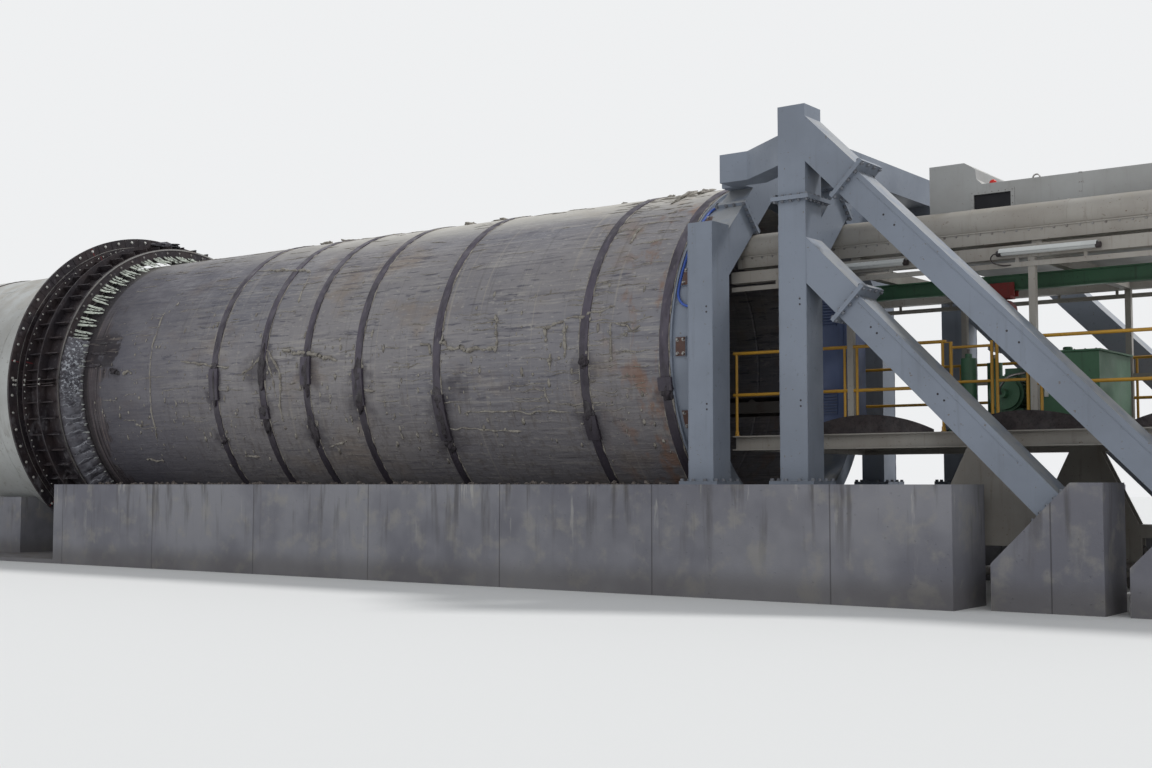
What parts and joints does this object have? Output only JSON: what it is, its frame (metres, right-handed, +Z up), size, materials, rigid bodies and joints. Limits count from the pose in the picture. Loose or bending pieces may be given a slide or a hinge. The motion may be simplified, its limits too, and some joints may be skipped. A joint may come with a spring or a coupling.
{
  "type": "tunnel boring machine at its launch, with thrust frame and backup gantry",
  "caption": "Tunnel boring machine: banded concrete barrel on its cradle, launch seal, shield and cutterhead ahead, braced thrust frame and wheeled backup gantry behind.",
  "frame": {"origin": "on the cradle's underside, under the bore axis at the rear end of the trough", "axes": "+X forward to the cutterhead, +Y to the walkway side, +Z up"},
  "size_m": [32.386, 6.3, 6.3298],
  "materials": {
    "cradle_concrete": "rough cast concrete, stained",
    "barrel_concrete": "cast concrete with grout streaks",
    "band_rubber": "dark, greasy flat bands",
    "seal_steel": "dark steel, muddy",
    "brush_fibre": "pale greased brush fingers",
    "shield_paint": "light grey paint",
    "wire_steel": "packed steel wire",
    "bare_steel": "bare steel",
    "head_paint": "worn paint",
    "cutter_steel": "forged steel",
    "frame_paint": "pale blue-grey paint",
    "hose_blue": "blue hose",
    "gantry_cream": "cream paint",
    "deck_steel": "chequer plate and rolled steel",
    "guard_dark": "dark rubber sheet",
    "panel_white": "white painted sheet",
    "window_dark": "dark glass",
    "beacon_red": "red lens",
    "lamp_tube": "tube lamp cover",
    "unit_green": "green paint",
    "motor_red": "red paint",
    "rail_yellow": "yellow paint",
    "cabinet_blue": "dark blue paint"
  },
  "bodies": {
    "machine": {"cradle": "cradle_concrete", "shield_saddles": "cradle_concrete", "barrel": "barrel_concrete", "hoop_bands": "band_rubber", "seal_can": "seal_steel", "seal_front_plate": "seal_steel", "seal_brushes": "brush_fibre", "tail_shield": "shield_paint", "tail_brushes": "wire_steel", "front_shield": "shield_paint", "shield_bulkhead": "shield_paint", "drive_block": "bare_steel", "bearing_ring": "frame_paint", "blue_hose": "hose_blue", "front_columns": "frame_paint", "front_arch": "frame_paint", "main_posts": "frame_paint", "post_arch": "frame_paint", "thrust_arms": "frame_paint", "upper_struts": "frame_paint", "lower_struts": "frame_paint", "strut_feet": "cradle_concrete", "gantry_sills": "gantry_cream", "gantry_posts": "gantry_cream", "gantry_deck": "deck_steel", "arch_guards": "guard_dark", "upper_beams": "gantry_cream", "air_duct": "gantry_cream", "panel_housing": "panel_white", "housing_window": "window_dark", "warning_beacon": "beacon_red", "tube_lamps": "lamp_tube", "crane_rail": "unit_green", "handrails": "rail_yellow", "control_cabinet": "cabinet_blue", "power_unit": "unit_green", "conveyor_bridge": "deck_steel", "bogie_frames": "gantry_cream"},
    "cutter_head": {"cutterhead": "head_paint", "head_hub": "bare_steel", "disc_cutters": "cutter_steel", "scrapers": "cutter_steel"},
    "gate_front": {"gate_leaf_front": "rail_yellow"},
    "gate_rear": {"gate_leaf_rear": "rail_yellow"},
    "cabinet_door_leaf": {"cabinet_door": "cabinet_blue"},
    "hoist": {"segment_hoist": "motor_red"},
    "wheels_1": {"wheelset_1": "bare_steel"},
    "wheels_2": {"wheelset_2": "bare_steel"},
    "wheels_3": {"wheelset_3": "bare_steel"},
    "wheels_4": {"wheelset_4": "bare_steel"}
  },
  "joints": [
    {"name": "cutterhead_spin", "type": "hinge", "parent": "machine", "child": "cutter_head", "pos_m": [21.5, 0, 3.2], "axis": [1, 0, 0], "continuous": true},
    {"name": "gate_front_swing", "type": "hinge", "parent": "machine", "child": "gate_front", "pos_m": [-3.48, 1.859, 2.2], "axis": [0, 0, 1], "range_deg": [0, 90]},
    {"name": "gate_rear_swing", "type": "hinge", "parent": "machine", "child": "gate_rear", "pos_m": [-4.42, 1.859, 2.2], "axis": [0, 0, 1], "range_deg": [-90, 0]},
    {"name": "cabinet_door_swing", "type": "hinge", "parent": "machine", "child": "cabinet_door_leaf", "pos_m": [-1.972, 1.086, 3], "axis": [0, 0, 1], "range_deg": [0, 100]},
    {"name": "hoist_travel", "type": "slide", "parent": "machine", "child": "hoist", "axis": [1, 0, 0], "range_m": [-5.8, 1.7]},
    {"name": "wheelset_1_roll", "type": "hinge", "parent": "machine", "child": "wheels_1", "pos_m": [-3.3, 0, 0.3], "axis": [0, 1, 0], "continuous": true},
    {"name": "wheelset_2_roll", "type": "hinge", "parent": "machine", "child": "wheels_2", "pos_m": [-4.5, 0, 0.3], "axis": [0, 1, 0], "continuous": true},
    {"name": "wheelset_3_roll", "type": "hinge", "parent": "machine", "child": "wheels_3", "pos_m": [-7.9, 0, 0.3], "axis": [0, 1, 0], "continuous": true},
    {"name": "wheelset_4_roll", "type": "hinge", "parent": "machine", "child": "wheels_4", "pos_m": [-9.1, 0, 0.3], "axis": [0, 1, 0], "continuous": true}
  ]
}
